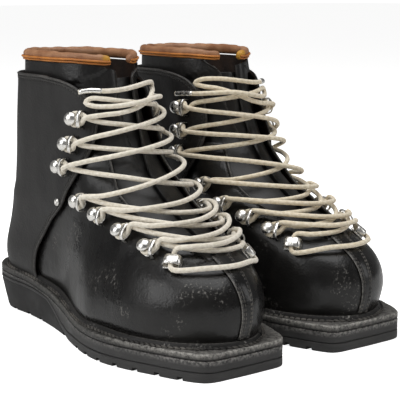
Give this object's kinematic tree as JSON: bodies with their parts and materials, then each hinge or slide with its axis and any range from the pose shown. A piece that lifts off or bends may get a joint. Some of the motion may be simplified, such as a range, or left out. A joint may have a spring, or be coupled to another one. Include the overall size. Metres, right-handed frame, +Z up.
{
  "type": "mountaineering boots",
  "caption": "Pair of leather mountaineering boots with square-toed rubber soles, stitched welt, ankle cuff, tan padded collar and speed-hook lacing tied in a bow.",
  "frame": {"origin": "middle of the pair on the ground, half way between toes and heels", "axes": "+Z up, -Y towards the toes, +X towards the wearer's left boot"},
  "size_m": [0.247, 0.304, 0.2187],
  "materials": {
    "toe_leather": "polished black smooth leather",
    "cuff_leather": "matt worn black leather",
    "black_leather": "soft black leather",
    "lining_leather": "soft black leather",
    "collar_leather": "padded tan leather",
    "sole_rubber": "matt black",
    "heel_rubber": "matt black",
    "welt_leather": "waxed dark leather",
    "insole_board": "plain leather board",
    "chrome_steel": "bright plated",
    "lace_cotton": "braided natural cotton"
  },
  "bodies": {
    "right_boot": {"right_outsole": "sole_rubber", "right_midsole": "sole_rubber", "right_heel_block": "heel_rubber", "right_welt": "welt_leather", "right_insole": "insole_board", "right_vamp": "toe_leather", "right_toe_strip": "toe_leather", "right_ankle_cuff": "cuff_leather", "right_inner_boot": "lining_leather", "right_collar_pad": "collar_leather", "right_lace": "lace_cotton", "right_outer_hook_1": "chrome_steel", "right_outer_hook_2": "chrome_steel", "right_outer_hook_3": "chrome_steel", "right_outer_hook_4": "chrome_steel", "right_outer_hook_5": "chrome_steel", "right_outer_hook_6": "chrome_steel", "right_outer_hook_7": "chrome_steel", "right_inner_hook_1": "chrome_steel", "right_inner_hook_2": "chrome_steel", "right_inner_hook_3": "chrome_steel", "right_inner_hook_4": "chrome_steel", "right_inner_hook_5": "chrome_steel", "right_inner_hook_6": "chrome_steel", "right_inner_hook_7": "chrome_steel", "right_outer_loop": "chrome_steel", "right_inner_loop": "chrome_steel", "right_outer_rivet": "chrome_steel", "right_inner_rivet": "chrome_steel"},
    "right_tongue": {"right_tongue": "black_leather"},
    "left_boot": {"left_outsole": "sole_rubber", "left_midsole": "sole_rubber", "left_heel_block": "heel_rubber", "left_welt": "welt_leather", "left_insole": "insole_board", "left_vamp": "toe_leather", "left_toe_strip": "toe_leather", "left_ankle_cuff": "cuff_leather", "left_inner_boot": "lining_leather", "left_collar_pad": "collar_leather", "left_lace": "lace_cotton", "left_outer_hook_1": "chrome_steel", "left_outer_hook_2": "chrome_steel", "left_outer_hook_3": "chrome_steel", "left_outer_hook_4": "chrome_steel", "left_outer_hook_5": "chrome_steel", "left_outer_hook_6": "chrome_steel", "left_outer_hook_7": "chrome_steel", "left_inner_hook_1": "chrome_steel", "left_inner_hook_2": "chrome_steel", "left_inner_hook_3": "chrome_steel", "left_inner_hook_4": "chrome_steel", "left_inner_hook_5": "chrome_steel", "left_inner_hook_6": "chrome_steel", "left_inner_hook_7": "chrome_steel", "left_outer_loop": "chrome_steel", "left_inner_loop": "chrome_steel", "left_outer_rivet": "chrome_steel", "left_inner_rivet": "chrome_steel"},
    "left_tongue": {"left_tongue": "black_leather"}
  },
  "joints": [
    {"name": "left_boot_lift", "type": "slide", "parent": "right_boot", "child": "left_boot", "axis": [0, 0, 1], "range_m": [0, 0.3]},
    {"name": "right_tongue_hinge", "type": "hinge", "parent": "right_boot", "child": "right_tongue", "pos_m": [-0.058, -0.12119, 0.06878], "axis": [1, 0, 0], "range_deg": [-12, 0], "stiffness_Nm_per_rad": 0.06, "springref_deg": 11.46},
    {"name": "left_tongue_hinge", "type": "hinge", "parent": "left_boot", "child": "left_tongue", "pos_m": [0.058, -0.12119, 0.06878], "axis": [1, 0, 0], "range_deg": [-12, 0], "stiffness_Nm_per_rad": 0.06, "springref_deg": 11.46}
  ]
}
